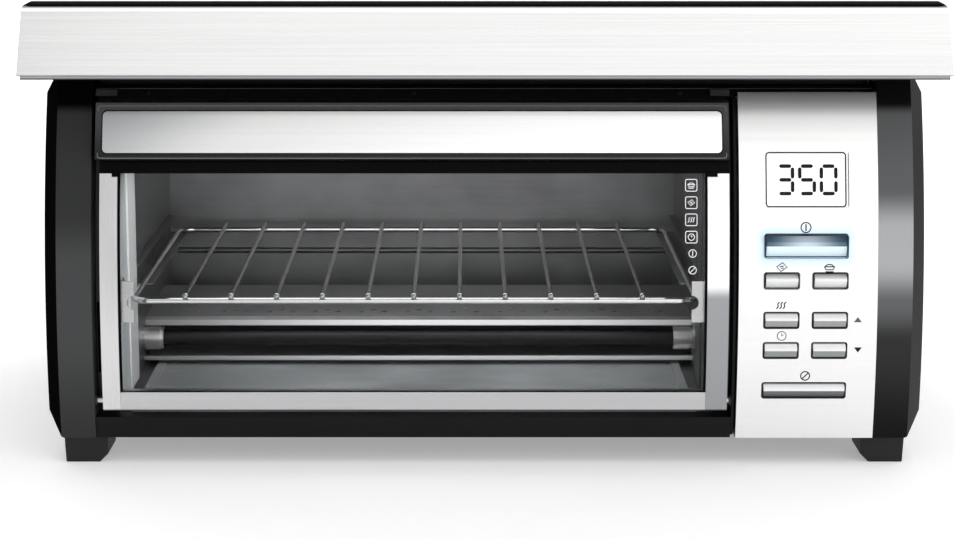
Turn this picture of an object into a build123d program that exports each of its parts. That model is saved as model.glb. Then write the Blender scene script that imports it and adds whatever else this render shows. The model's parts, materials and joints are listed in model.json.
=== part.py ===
from build123d import *
from math import sqrt
import os

# Toaster oven with a hood for hanging it under a cabinet. Millimetres, +Z up, the door faces -Y.
# The origin is the middle of the footprint, on the surface that the feet stand on.

# ---- Overall ----
overall_width = 462.0
overall_depth = 300.0
overall_height = 236.4
front_y = -overall_depth / 2
rear_y = overall_depth / 2
foot_height = 13.8
foot_inner = 193.8
foot_outer = 216.3
foot_corner = 4.4
foot_length = 28.0
feet_y = (-131.0, 103.0)
sheet = 1.2  # folded casing sheet
thin = 0.8  # oven chamber sheet

# ---- Bowed front: a cylinder about an axis along X ----
bow_radius = 330.0
bow_axis_y = 192.0
bow_axis_z = 62.0

# ---- Body ----
body_half = 224.3
body_bottom = foot_height
body_top = 201.2
cap_inner = 199.3  # where each end cap meets the door or the control panel
cap_back = -70.0
cap_wall = 2.0
cap_edge = 7.4  # width of the bevel and of the corner chamfers
cap_bevel_depth = 10.0
cap_chamfer_height = 13.0
cap_lower_corner = 3.0
cap_skin = 2.2  # wall left round the cap's two hollows
cap_step = 10.0  # the outer hollow is this wide
wrap_half = 222.0
wrap_sheet = 1.0
wrap_front = -95.0  # tongues of the wrap reach into the caps
rear_plate_y = 147.0
beam_half = cap_inner - 0.1  # the parts between the caps stop just short of them
tongue_z = (29.5, 185.5)
louvre_pitch = 14.0
louvre_width = 4.0
louvre_height = 36.0
base_flange = 11.0
base_vent = (5.0, 34.0)
rear_box_x = (-130.0, 100.0)
rear_box_z = (52.0, 162.0)
rear_vents = ((163, 150), (163, 100), (-178, 120))
rear_vent_width = 62.0
rear_vent_height = 3.0
rear_vent_pitch = 7.0
cord_x = 170.0
cord_z = 40.0
cord_radius = 4.0
gland_radius = 8.0
gland_head_radius = 11.0
case_screw_x = (-205, -75, 55, 205)
case_screw_z = (22, 193)
case_screw_radius = 3.2

# ---- Beam over the door and bar under it ----
beam_bottom = 186.5
beam_top = 190.8
beam_depth = 6.0
beam_back = -88.0
bar_top = 24.9
bar_depth = 0.8
bar_back = 12.0
bumper_spans = ((-198.2, -187.2), (115.0, 125.0))
bumper_z = (187.3, 190.4)
bumper_depth = 2.5
beam_screw_x = (-171.6, -35.9, 99.9)
beam_screw_z = 188.5
beam_screw_radius = 1.2

# ---- Door ----
door_left = -195.0
door_right = 124.0
door_bottom = 28.2
glass_bottom = 38.3
glass_top = 149.6
handle_bottom = 156.3
handle_top = 184.8
glass_left = -186.0
glass_right = 113.0
door_front = 0.6  # depth of the steel strips behind the bow
door_back = 9.5
handle_x = (-196.8, 123.5)
handle_front = -4.5
inlay_x = (-193.1, 119.9)
inlay_z = (160.4, 180.7)
inlay_gap = 0.7
inlay_corner = 2.2
claw_width = 7.6
claw_z = (74.0, 95.0)
claw_depth = (5.3, 6.5)
door_toe_chamfer = 0.9  # clears the crumb tray as the door swings
hinge_y = -131.5
hinge_z = 33.0
pin_radius = 1.7
bush_radius = 3.0

# ---- Oven chamber ----
chamber_left = -189.0
chamber_right = 117.0
chamber_floor = 24.8
chamber_ceiling = 176.0
chamber_back = 112.0
chamber_middle = (chamber_left + chamber_right) / 2
frame_front = 13.0  # depth of the front frame behind the bow
mouth_left = -187.0
mouth_right = 115.0
mouth_top = 158.0
jamb_step_y = -89.0  # the folded-back jambs step inwards here
jamb_back = -62.0
lever_slot_x = (-198.4, -195.4)
lever_slot_z = (46.0, 83.0)
ridge_z = 66.8  # pressed ridge across the chamber's back
ridge_depth = 1.6
guide_z = (79.4, 90.2)
guide_ledge = 11.5
guide_lip = 4.0
shield_front = -14.0
shield_top = 51.8
shield_back = 84.0
shield_floor = 29.4
slot_pitch = 26.0
slot_groups = 11
slot_size = 2.6
reflector_top = 172.0
sensor_y = 88.0
sensor_z = 140.0
sensor_radius = 2.2
frame_bottom = 25.2
frame_top = 186.2
partition_x = 126.4
partition_lip = 5.0  # depth of its front lip behind the bow

# ---- Rack and crumb tray ----
rack_half_width = 147.0
rack_front = -117.0
rack_back = 96.4
rack_height = 82.1
rack_wire_radius = 1.6
grid_wire_radius = 1.15
grid_count = 11
grid_spacing = 23.5
tray_half_width = 145.5
tray_bottom = 25.2
tray_rim_top = 26.8
tray_rim = 4.4
tray_front = 10.0  # depth of its front lip behind the bow
tray_back = 108.0

# ---- Heaters ----
tube_radius = 4.75
tube_inset = 10.3
tube_cap_radius = 6.8
lower_tube_z = 39.6
upper_tube_z = 158.0
tube_rows = (-12.0, 62.0)

# ---- Control panel ----
panel_left = 128.6
panel_right = 199.2
panel_top = 189.4
window_x = (142.2, 184.7)
window_z = (132.8, 160.4)
button_gap = 0.6
recess_corner = 0.9
button_proud = 1.6
button_flange = 1.4
carrier_gap = 0.3
board_y = -97.0
board_x = (133.0, 195.0)
board_z = (28.0, 166.0)
board_thickness = 1.6
board_hole_radius = 1.6
switch_height = 5.0
switch_body = 3.5
power_board_x = 132.0
relay_height = 15.4
relay_z = (60.0, 79.0)
relay_rows = ((-40.0, -20.0), (0.0, 20.0))
transformer_x = (150.0, 192.0)
transformer_y = (64.0, 100.0)
transformer_top = 50.0
terminal_x = (140.0, 176.0)
terminal_y = (112.0, 130.0)
terminal_top = 30.0
lens_depth = (0.3, 2.4)
display_back = 8.0
display_margin = 2.0
press_travel = 0.9
left_column = 150.6
right_column = 175.2
small_recess = (17.6, 8.0)
wide_recess = (42.4, 8.0)
power_recess = (41.8, 11.6)
middle_column = 162.9
buttons = {
    "power_button": (middle_column, 113.8, power_recess),
    "toast_button": (left_column, 96.2, small_recess),
    "bake_button": (right_column, 96.2, small_recess),
    "warm_button": (left_column, 76.1, small_recess),
    "up_button": (right_column, 76.1, small_recess),
    "timer_button": (left_column, 60.5, small_recess),
    "down_button": (right_column, 60.5, small_recess),
    "stop_button": (middle_column, 39.5, wide_recess),
}

# ---- Hood ----
hood_half = overall_width / 2
fascia_bottom = 202.0
fascia_top = 234.5
fascia_top_y = -129.45  # where the face would meet the top, before its bend
fascia_bend = 8.5
fascia_sheet = 1.0
lip_bottom = 199.7
lip_inset = 1.5
lip_back = -138.0
trim_front = -125.4
trim_corner = 3.6
skirt_outer = 230.0
skirt_inner = 228.8
pan_bottom = body_top
pan_top = pan_bottom + 1.0
mount_top = 212.2
mount_half = 200.0
mount_y = (-110.0, 146.0)
mount_bolts_x = 340.0
mount_bolts_y = 180.0
mount_middle_y = 18.0
mount_hole_radius = 2.75

os.makedirs("parts", exist_ok=True)


def bow_y(z, depth=0.0):
    """Y of the bowed front at a height, a given depth behind its surface."""
    return bow_axis_y - sqrt((bow_radius - depth) ** 2 - (z - bow_axis_z) ** 2)


def bow_plane(x, z, depth):
    """Plane tangent to the bowed front, facing outwards."""
    y = bow_y(z, depth)
    return Plane(origin=(x, y, z), x_dir=(1, 0, 0), z_dir=(0, y - bow_axis_y, z - bow_axis_z))


def bow_arc(z, depth):
    """Arc of the bowed front between two heights, in the YZ plane."""
    middle = (z[0] + z[1]) / 2
    return ThreePointArc(
        (bow_y(z[0], depth), z[0]), (bow_y(middle, depth), middle), (bow_y(z[1], depth), z[1])
    )


def block(x, y, z, mode=Mode.ADD):
    """Rectangular block between pairs of limits."""
    with Locations(((x[0] + x[1]) / 2, (y[0] + y[1]) / 2, (z[0] + z[1]) / 2)):
        Box(x[1] - x[0], y[1] - y[0], z[1] - z[0], mode=mode)


def bowed(x, z, depth, mode=Mode.ADD):
    """Slab concentric with the bowed front, between two depths behind it."""
    with BuildSketch(Plane.YZ.offset(x[0])) as section:
        with BuildLine():
            front = bow_arc(z, depth[0])
            back = bow_arc(z, depth[1])
            Line(front @ 0, back @ 0)
            Line(front @ 1, back @ 1)
        make_face()
    extrude(section.sketch, amount=x[1] - x[0], mode=mode)


def bowed_to(x, z, depth, y_back, mode=Mode.ADD):
    """Solid from a depth behind the bowed front to a flat back."""
    with BuildSketch(Plane.YZ.offset(x[0])) as section:
        with BuildLine():
            front = bow_arc(z, depth)
            Polyline(front @ 0, (y_back, z[0]), (y_back, z[1]), front @ 1)
        make_face()
    extrude(section.sketch, amount=x[1] - x[0], mode=mode)


def folded(x, points, thickness, radius=0.0, mode=Mode.ADD):
    """Sheet folded along a path in the YZ plane; the thickness goes to the right of the path."""
    with BuildSketch(Plane.YZ.offset(x[0])) as section:
        with BuildLine():
            if radius:
                FilletPolyline(*points, radius=radius)
            else:
                Polyline(*points)
            offset(amount=thickness, side=Side.RIGHT)
        make_face()
    extrude(section.sketch, amount=x[1] - x[0], mode=mode)


def plate_yz(x, points, mode=Mode.ADD):
    """Flat plate of a polygonal outline in the YZ plane."""
    with BuildSketch(Plane.YZ.offset(x[0])) as section:
        with BuildLine():
            Polyline(*points, close=True)
        make_face()
    extrude(section.sketch, amount=x[1] - x[0], mode=mode)


def rod_x(x, y, z, radius, mode=Mode.ADD):
    """Round rod along X."""
    with Locations(Location(((x[0] + x[1]) / 2, y, z), (0, 90, 0))):
        Cylinder(radius, x[1] - x[0], mode=mode)


def rod_y(x, y, z, radius, mode=Mode.ADD):
    """Round rod along Y."""
    with Locations(Location((x, (y[0] + y[1]) / 2, z), (90, 0, 0))):
        Cylinder(radius, y[1] - y[0], mode=mode)


def side_span(side, near, far):
    """X limits on one side, given as distances from the middle."""
    return (near, far) if side > 0 else (-far, -near)


def save(piece, name):
    """Label a finished piece and write it."""
    piece.part.label = name
    export_step(piece.part, f"parts/{name}.step")


# ---- Casing ----
with BuildPart() as outer_wrap:
    wrap_y = (cap_back + 0.2, rear_plate_y)
    for side in (-1, 1):
        wall_x = side_span(side, wrap_half - wrap_sheet, wrap_half)
        block(wall_x, wrap_y, (body_bottom, body_top))
        block(wall_x, (wrap_front, wrap_y[0]), tongue_z)
    block((-wrap_half, wrap_half), wrap_y, (body_top - wrap_sheet, body_top))
    # Cooling louvres beside the control compartment and the chamber
    with Locations((0, 50, 150), (0, 50, 60)):
        with GridLocations(0, louvre_pitch, 1, 9):
            Box(2 * wrap_half + 2, louvre_width, louvre_height, mode=Mode.SUBTRACT)
save(outer_wrap, "outer_wrap")

with BuildPart() as base_plate:
    plate_z = (body_bottom, body_bottom + sheet)
    plate_half = wrap_half - wrap_sheet - 0.2
    block((-plate_half, plate_half), (cap_back + 0.2, rear_plate_y), plate_z)
    block((-beam_half, beam_half), (-118, cap_back + 0.2), plate_z)
    block((panel_left, beam_half), (-132.8, -118), plate_z)
    for side in (-1, 1):
        block(
            side_span(side, plate_half - sheet, plate_half),
            (cap_back + 1, rear_plate_y),
            (body_bottom + sheet, body_bottom + base_flange),
        )
    with Locations((163, 20, body_bottom), (-36, 20, body_bottom)):
        with GridLocations(14, 46, 4, 3):
            Box(*base_vent, 6, mode=Mode.SUBTRACT)
save(base_plate, "base_plate")

with BuildPart() as rear_cover:
    block((-wrap_half, wrap_half), (rear_plate_y, rear_plate_y + sheet), (body_bottom, body_top))
    block(rear_box_x, (rear_plate_y + sheet, rear_y), rear_box_z)
    inner_x = (rear_box_x[0] + sheet, rear_box_x[1] - sheet)
    inner_z = (rear_box_z[0] + sheet, rear_box_z[1] - sheet)
    block(inner_x, (rear_plate_y, rear_y - sheet), inner_z, mode=Mode.SUBTRACT)
    # Vents behind the control compartment and beside the chamber
    for x, z in rear_vents:
        for row in range(6):
            with Locations((x, rear_plate_y, z + (row - 2.5) * rear_vent_pitch)):
                Box(rear_vent_width, 6, rear_vent_height, mode=Mode.SUBTRACT)
    rod_y(cord_x, (rear_plate_y - 1, rear_y), cord_z, gland_radius, mode=Mode.SUBTRACT)
save(rear_cover, "rear_cover")

with BuildPart() as cord_gland:
    rod_y(cord_x, (rear_plate_y - 4, rear_plate_y + sheet), cord_z, gland_radius)
    rod_y(cord_x, (rear_plate_y + sheet, rear_y), cord_z, gland_head_radius)
    rod_y(cord_x, (rear_plate_y - 5, rear_y + 1), cord_z, cord_radius, mode=Mode.SUBTRACT)
save(cord_gland, "cord_gland")

with BuildPart() as case_screws:
    for x in case_screw_x:
        for z in case_screw_z:
            rod_y(x, (rear_plate_y + sheet, rear_y - 0.2), z, case_screw_radius)
save(case_screws, "case_screws")

for side, name in ((-1, "left_end_cap"), (1, "right_end_cap")):
    with BuildPart() as end_cap:
        with BuildSketch(Plane.XZ.offset(-cap_back)):
            with BuildLine():
                Polyline(
                    (side * cap_inner, body_bottom),
                    (side * (body_half - cap_edge), body_bottom),
                    (side * body_half, body_bottom + cap_chamfer_height),
                    (side * body_half, body_top - cap_chamfer_height),
                    (side * (body_half - cap_edge), body_top),
                    (side * cap_inner, body_top),
                    close=True,
                )
            make_face()
        extrude(amount=-cap_back)
        lowest = end_cap.edges().filter_by(Axis.Y).group_by(Axis.Z)[0]
        fillet(lowest.sort_by(Axis.X)[0 if side < 0 else -1], cap_lower_corner)
        # The front follows the bow and its outer edge is bevelled
        with BuildSketch(Plane.XY.offset(bow_axis_z)):
            with BuildLine():
                bow_front = bow_axis_y - bow_radius
                Polyline(
                    (side * (cap_inner - 1), bow_front),
                    (side * (body_half - cap_edge), bow_front),
                    (side * (body_half + 0.1 * cap_edge), bow_front + 1.1 * cap_bevel_depth),
                    (side * (body_half + 0.1 * cap_edge), rear_y),
                    (side * (cap_inner - 1), rear_y),
                    close=True,
                )
            make_face()
        revolve(axis=Axis((0, bow_axis_y, bow_axis_z), (1, 0, 0)), mode=Mode.INTERSECT)
        # Two hollows: a deep one, and one behind the bevel
        step_x = body_half - cap_step
        bowed_to(
            side_span(side, cap_inner + cap_wall, step_x),
            (body_bottom + cap_skin, body_top - cap_skin),
            cap_skin,
            cap_back + 1,
            mode=Mode.SUBTRACT,
        )
        bowed_to(
            side_span(side, step_x, body_half - cap_skin),
            (body_bottom + cap_chamfer_height + 1, body_top - cap_chamfer_height - 1),
            cap_bevel_depth + 3,
            cap_back + 1,
            mode=Mode.SUBTRACT,
        )
        if side < 0:
            rod_x((-cap_inner - cap_wall, -cap_inner), hinge_y, hinge_z, bush_radius, mode=Mode.SUBTRACT)
    save(end_cap, name)

with BuildPart() as feet:
    for side in (-1, 1):
        for y_front in feet_y:
            with BuildSketch(Plane.XZ.offset(-y_front)):
                with BuildLine():
                    Polyline(
                        (side * foot_inner, foot_height),
                        (side * foot_outer, foot_height),
                        (side * (foot_outer - 0.7), 0),
                        (side * (foot_inner + foot_corner), 0),
                        (side * foot_inner, foot_corner),
                        close=True,
                    )
                make_face()
            extrude(amount=-foot_length)
save(feet, "feet")

# ---- Chassis between the end caps ----
with BuildPart() as partition_plate:
    partition_z = (body_bottom + sheet + 0.2, frame_top)
    bowed_to((partition_x, partition_x + sheet), partition_z, 1.6, rear_plate_y - 0.5)
    # Lip that closes the gap beside the control panel
    bowed((partition_x + sheet, panel_left - 0.2), partition_z, (partition_lip, partition_lip + sheet))
    rod_x((partition_x - 1, partition_x + 2), hinge_y, hinge_z, bush_radius, mode=Mode.SUBTRACT)
save(partition_plate, "partition_plate")

with BuildPart() as top_beam:
    beam_x = (-beam_half, beam_half)
    bowed(beam_x, (beam_bottom, beam_top), (beam_depth, beam_depth + sheet))
    bowed_to(beam_x, (beam_top - sheet, beam_top), beam_depth, beam_back)
    block(beam_x, (beam_back, beam_back + sheet), (beam_top - sheet, body_top))
    block(beam_x, (beam_back, cap_back + 0.2), (body_top - sheet, body_top))
save(top_beam, "top_beam")

with BuildPart() as bottom_bar:
    bar_x = (-beam_half, partition_x - 0.2)
    bowed(bar_x, (body_bottom, bar_top), (bar_depth, bar_depth + sheet))
    bowed(bar_x, (bar_top - sheet, bar_top), (bar_depth, bar_back))
    bowed(bar_x, (body_bottom, body_bottom + sheet), (bar_depth, bar_back))
save(bottom_bar, "bottom_bar")

with BuildPart() as front_frame:
    frame_z = (frame_bottom, frame_top)
    bowed((-cap_inner + 0.3, partition_x - 0.2), frame_z, (frame_front, frame_front + sheet))
    block((mouth_left, mouth_right), (front_y, 0), (0, mouth_top), mode=Mode.SUBTRACT)
    # Jambs folded back into the chamber, with a step down their middle
    for wall, inwards in ((mouth_left, 1), (mouth_right, -1)):
        outer = sorted((wall - inwards * thin, wall))
        inner = sorted((wall, wall + inwards * thin))
        both = sorted((wall - inwards * thin, wall + inwards * thin))
        bowed_to(outer, (frame_bottom, mouth_top), frame_front, jamb_step_y + 1)
        block(both, (jamb_step_y, jamb_step_y + 1), (frame_bottom, mouth_top))
        block(inner, (jamb_step_y + 1, jamb_back), (28.4, mouth_top))
    # Slot for the door's check lever, beside the left jamb
    block(lever_slot_x, (front_y, -100), lever_slot_z, mode=Mode.SUBTRACT)
save(front_frame, "front_frame")

with BuildPart() as latch_bumpers:
    for bumper_x in bumper_spans:
        bowed(bumper_x, bumper_z, (bumper_depth, beam_depth))
save(latch_bumpers, "latch_bumpers")

with BuildPart() as beam_screws:
    for x in beam_screw_x:
        with BuildSketch(bow_plane(x, beam_screw_z, beam_depth - 0.02)):
            Circle(beam_screw_radius)
        extrude(amount=0.8)
save(beam_screws, "beam_screws")

with BuildPart() as hinge_bushes:
    rod_x((-cap_inner - cap_wall, -198.2), hinge_y, hinge_z, bush_radius)
    rod_x((125.2, 127.9), hinge_y, hinge_z, bush_radius)
    rod_x((-203, 129), hinge_y, hinge_z, pin_radius + 0.2, mode=Mode.SUBTRACT)
save(hinge_bushes, "hinge_bushes")

# ---- Oven chamber ----
with BuildPart() as cavity_liner:
    bowed_to(
        (chamber_left - thin, chamber_right + thin),
        (chamber_floor - thin, chamber_ceiling + thin),
        frame_front + sheet + 0.1,
        chamber_back,
    )
    block(
        (chamber_left, chamber_right), (front_y, rear_y), (chamber_floor, chamber_ceiling), mode=Mode.SUBTRACT
    )
save(cavity_liner, "cavity_liner")

with BuildPart() as cavity_back:
    block(
        (chamber_left - thin, chamber_right + thin),
        (chamber_back, chamber_back + thin),
        (chamber_floor - thin, chamber_ceiling + thin),
    )
    # Pressed stiffening ridge
    with BuildSketch(Plane.YZ.offset(chamber_left + 4)):
        with BuildLine():
            Polyline(
                (chamber_back, ridge_z - 1.8),
                (chamber_back - ridge_depth, ridge_z - 0.6),
                (chamber_back - ridge_depth, ridge_z + 0.6),
                (chamber_back, ridge_z + 1.8),
                close=True,
            )
        make_face()
    extrude(amount=chamber_right - chamber_left - 8)
save(cavity_back, "cavity_back")

with BuildPart() as rack_guides:
    for side in (-1, 1):
        wall = chamber_middle + side * (chamber_right - chamber_left) / 2
        for reach, heights in (
            (thin, guide_z),
            (guide_ledge, (guide_z[0], guide_z[0] + thin)),
            (guide_lip, (guide_z[1] - thin, guide_z[1])),
        ):
            near = sorted((wall, wall - side * reach))
            block(near, (jamb_back + 1, 101), heights)
save(rack_guides, "rack_guides")

with BuildPart() as lower_shield:
    chamber_x = (chamber_left, chamber_right)
    shield_path = (
        (shield_front, 47),
        (shield_front + 2, shield_top),
        (shield_back - 6, shield_top),
        (shield_back, 46),
        (shield_back, shield_floor),
    )
    folded(chamber_x, shield_path, thin)
    floor_path = ((-21, shield_floor + 1.6), (-21, shield_floor), (shield_back, shield_floor))
    folded(chamber_x, floor_path, thin)
    # Staggered groups of three small slots along the front of the top
    with Locations((chamber_middle, 1, shield_top)):
        with GridLocations(slot_pitch, 0, slot_groups, 1):
            with Locations((-slot_pitch / 4, 0), (0, 5.5), (slot_pitch / 4, 0)):
                Box(slot_size, 4, 4, mode=Mode.SUBTRACT)
save(lower_shield, "lower_shield")

with BuildPart() as upper_reflector:
    reflector_path = ((-66, 164), (-58, reflector_top), (92, reflector_top), (100, 164))
    folded((chamber_left + 3, chamber_right - 3), reflector_path, thin)
    for hanger_x in ((-176, -168), (96, 104)):
        block(hanger_x, (0, 30), (reflector_top, chamber_ceiling))
save(upper_reflector, "upper_reflector")

for name, tube_z in (("lower_heating_tubes", lower_tube_z), ("upper_heating_tubes", upper_tube_z)):
    with BuildPart() as heating_tubes:
        for y in tube_rows:
            rod_x((chamber_left + tube_inset, chamber_right - tube_inset), y, tube_z, tube_radius)
    save(heating_tubes, name)

with BuildPart() as tube_end_caps:
    for y in tube_rows:
        for z in (lower_tube_z, upper_tube_z):
            for start in (chamber_left, chamber_right - tube_inset):
                rod_x((start, start + tube_inset - 1.5), y, z, tube_cap_radius)
                rod_x((start + 1.5, start + tube_inset), y, z, tube_cap_radius - 0.4)
save(tube_end_caps, "tube_end_caps")

with BuildPart() as temperature_sensor:
    rod_x((chamber_right - 26, chamber_right), sensor_y, sensor_z, sensor_radius)
    rod_x((chamber_right + thin, chamber_right + 6), sensor_y, sensor_z, 2 * sensor_radius)
save(temperature_sensor, "temperature_sensor")

# ---- Control panel and electronics ----
with BuildPart() as control_panel:
    bowed((panel_left, panel_right), (body_bottom, panel_top), (0, sheet))
    bowed((panel_left, panel_left + sheet), (body_bottom + sheet + 0.2, frame_top), (0, 9))
    block(window_x, (front_y, 0), window_z, mode=Mode.SUBTRACT)
    with BuildSketch(Plane.XZ.offset(-board_y)):
        for x, z, size in buttons.values():
            with Locations((x, z)):
                RectangleRounded(size[0], size[1], recess_corner)
    extrude(amount=board_y - front_y, mode=Mode.SUBTRACT)
save(control_panel, "control_panel")

with BuildPart() as button_carrier:
    bowed((panel_left + 3, panel_right - 2), (30, 126), (1.5, 3.3))
    for x, z, size in buttons.values():
        with Locations((x, (front_y + board_y) / 2, z)):
            margin = 2 * (carrier_gap - button_gap)
            Box(size[0] + margin, board_y - front_y, size[1] + margin, mode=Mode.SUBTRACT)
save(button_carrier, "button_carrier")

with BuildPart() as display_window:
    bowed(window_x, window_z, lens_depth)
save(display_window, "display_window")

with BuildPart() as display_module:
    display_x = (window_x[0] - display_margin, window_x[1] + display_margin)
    display_z = (window_z[0] - display_margin, window_z[1] + display_margin)
    bowed(display_x, display_z, (lens_depth[1], display_back))
save(display_module, "display_module")

with BuildPart() as control_board:
    block(board_x, (board_y, board_y + board_thickness), board_z)
    with Locations(Location((sum(board_x) / 2, board_y, sum(board_z) / 2), (90, 0, 0))):
        with GridLocations(54, 130, 2, 2):
            Cylinder(board_hole_radius, 10, mode=Mode.SUBTRACT)
save(control_board, "control_board")

with BuildPart() as tact_switches:
    for x, z, size in buttons.values():
        block((x - 3, x + 3), (board_y - switch_body, board_y), (z - 3, z + 3))
        rod_y(x, (board_y - switch_height, board_y - switch_body), z, 1.7)
save(tact_switches, "tact_switches")

with BuildPart() as power_board:
    relay_x = power_board_x + board_thickness
    block((power_board_x, relay_x), (-60, 60), (30, 120))
save(power_board, "power_board")

with BuildPart() as relay:
    for relay_y in relay_rows:
        block((relay_x, relay_x + relay_height), relay_y, relay_z)
save(relay, "relay")

with BuildPart() as transformer:
    block(transformer_x, transformer_y, (body_bottom + sheet, transformer_top))
    winding_x = (transformer_x[0] - 6, transformer_x[0])
    block(winding_x, (transformer_y[0] + 8, transformer_y[1] - 8), (20, transformer_top - 5))
save(transformer, "transformer")

with BuildPart() as terminal_block:
    block(terminal_x, terminal_y, (body_bottom + sheet, terminal_top))
    for x in (terminal_x[0] + 9, terminal_x[1] - 9):
        with Locations((x, sum(terminal_y) / 2, terminal_top)):
            Cylinder(3.2, 8, mode=Mode.SUBTRACT)
save(terminal_block, "terminal_block")

# ---- Buttons ----
for name, (x, z, size) in buttons.items():
    half_w, half_h = size[0] / 2 - button_gap, size[1] / 2 - button_gap
    flange_w, flange_h = half_w + button_flange, half_h + button_flange
    flange_y = max(bow_y(z - flange_h, 3.3), bow_y(z + flange_h, 3.3)) + 0.4
    stem_end = board_y - switch_height - press_travel - 0.4
    with BuildPart() as button:
        # Ridged face: a short slope, a flat band, and a longer slope below the middle
        plate_yz(
            (x - half_w, x + half_w),
            (
                (bow_y(z - half_h) + 0.3, z - half_h),
                (bow_y(z) - button_proud, z),
                (bow_y(z) - button_proud, z + 0.4 * half_h),
                (bow_y(z + half_h) + 0.3, z + half_h),
                (flange_y, z + half_h),
                (flange_y, z - half_h),
            ),
        )
        block((x - flange_w, x + flange_w), (flange_y, flange_y + 1.4), (z - flange_h, z + flange_h))
        block((x - 2, x + 2), (flange_y + 1.4, stem_end), (z - 2, z + 2))
    save(button, name)

# ---- Door ----
strip_depth = (door_front, door_back)
for name, strip_x, hole_x in (
    ("door_left_strip", (door_left, glass_left), (door_left, door_left + 3)),
    ("door_right_strip", (glass_right, door_right), (door_right - 3, door_right)),
):
    with BuildPart() as strip:
        bowed(strip_x, (door_bottom, glass_top), strip_depth)
        toe = strip.edges().filter_by(Axis.X).group_by(Axis.Z)[0].sort_by(Axis.Y)[0]
        chamfer(toe, door_toe_chamfer)
        rod_x(hole_x, hinge_y, hinge_z, pin_radius, mode=Mode.SUBTRACT)
    save(strip, name)

with BuildPart() as door_bottom_strip:
    bowed((glass_left, glass_right), (door_bottom, glass_bottom), strip_depth)
    toe = door_bottom_strip.edges().filter_by(Axis.X).group_by(Axis.Z)[0].sort_by(Axis.Y)[0]
    chamfer(toe, door_toe_chamfer)
save(door_bottom_strip, "door_bottom_strip")

with BuildPart() as door_top_rail:
    bowed((door_left, door_right), (glass_top, handle_bottom), (0.4, 8.5))
    # Tabs that come down over the strips' inner corners
    for tab_x in ((glass_left - 2.8, glass_left + 0.9), (glass_right - 1.3, glass_right + 5.1)):
        bowed(tab_x, (glass_top - 1.6, glass_top + 0.6), (0, door_front))
save(door_top_rail, "door_top_rail")

with BuildPart() as door_glass:
    bowed((glass_left, glass_right), (glass_bottom, glass_top), (1.2, 5.2))
save(door_glass, "door_glass")

with BuildPart() as inlay_recess:
    bowed(
        (inlay_x[0] - inlay_gap, inlay_x[1] + inlay_gap),
        (inlay_z[0] - inlay_gap, inlay_z[1] + inlay_gap),
        (-6, -3.4),
    )
    fillet(inlay_recess.edges().filter_by(Axis.Y), inlay_corner + inlay_gap)

with BuildPart() as door_handle:
    bowed(handle_x, (handle_bottom, handle_top), (handle_front, 8))
    fillet(door_handle.edges().filter_by(Axis.X).group_by(Axis.Y)[0], 2.0)
    add(inlay_recess.part, mode=Mode.SUBTRACT)
save(door_handle, "door_handle")

with BuildPart() as handle_inlay:
    bowed(inlay_x, inlay_z, (handle_front - 0.1, -3.4))
    fillet(handle_inlay.edges().filter_by(Axis.Y), inlay_corner)
save(handle_inlay, "handle_inlay")

with BuildPart() as hinge_pins:
    rod_x((-cap_inner - cap_wall, door_left + 3), hinge_y, hinge_z, pin_radius)
    rod_x((door_right - 3, partition_x + 1.4), hinge_y, hinge_z, pin_radius)
save(hinge_pins, "hinge_pins")

# Each hook has a claw plate against the glass and a blade beside the rack
blade_outline = (
    (-129, 76),
    (-129, 94),
    (-121, 95),
    (-115, 92),
    (-113.5, 88),
    (-117.5, 86.5),
    (-119.5, 83),
    (-117.5, 80),
    (-113.5, 79.5),
    (-115.5, 76),
    (-121, 74),
)
with BuildPart() as rack_hooks:
    for edge, inwards in ((glass_left, 1), (glass_right, -1)):
        claw_tip = edge + inwards * claw_width
        bowed(sorted((edge, claw_tip)), claw_z, claw_depth)
        rod_y(claw_tip, (front_y, -100), 84, 3.6, mode=Mode.SUBTRACT)
        bowed(sorted((edge, edge + inwards * sheet)), claw_z, (claw_depth[0], door_back))
        plate_yz(sorted((edge, edge + inwards * sheet)), blade_outline)
save(rack_hooks, "rack_hooks")

# ---- Rack ----
with BuildPart() as rack_frame:
    left = chamber_middle - rack_half_width + rack_wire_radius
    right = chamber_middle + rack_half_width - rack_wire_radius
    with BuildLine() as rim:
        FilletPolyline(
            (left, rack_front, rack_height),
            (right, rack_front, rack_height),
            (right, rack_back, rack_height),
            (left, rack_back, rack_height),
            radius=9,
            close=True,
        )
    with BuildSketch(Plane(origin=rim.line @ 0, z_dir=rim.line % 0)):
        Circle(rack_wire_radius)
    sweep(path=rim.line)
save(rack_frame, "rack_frame")

with BuildPart() as rack_wires:
    wire_z = rack_height + rack_wire_radius + grid_wire_radius + 0.1
    for index in range(grid_count):
        x = chamber_middle - 0.2 + (index - (grid_count - 1) / 2) * grid_spacing
        rod_y(x, (rack_front - 2.3, rack_back + 3), wire_z, grid_wire_radius)
        with Locations((x, rack_front - 2.3, wire_z)):
            Sphere(1.7)
save(rack_wires, "rack_wires")

# ---- Crumb tray ----
with BuildPart() as crumb_tray:
    tray_x = (chamber_middle - tray_half_width, chamber_middle + tray_half_width)
    rim_z = (tray_bottom, tray_rim_top)
    bowed_to(tray_x, (tray_bottom, tray_bottom + thin), tray_front, tray_back)
    bowed(tray_x, rim_z, (tray_front, tray_front + 1.6))
    for start in (tray_x[0], tray_x[1] - tray_rim):
        bowed_to((start, start + tray_rim), rim_z, tray_front, tray_back)
    block(tray_x, (tray_back - 2, tray_back), rim_z)
save(crumb_tray, "crumb_tray")

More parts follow.
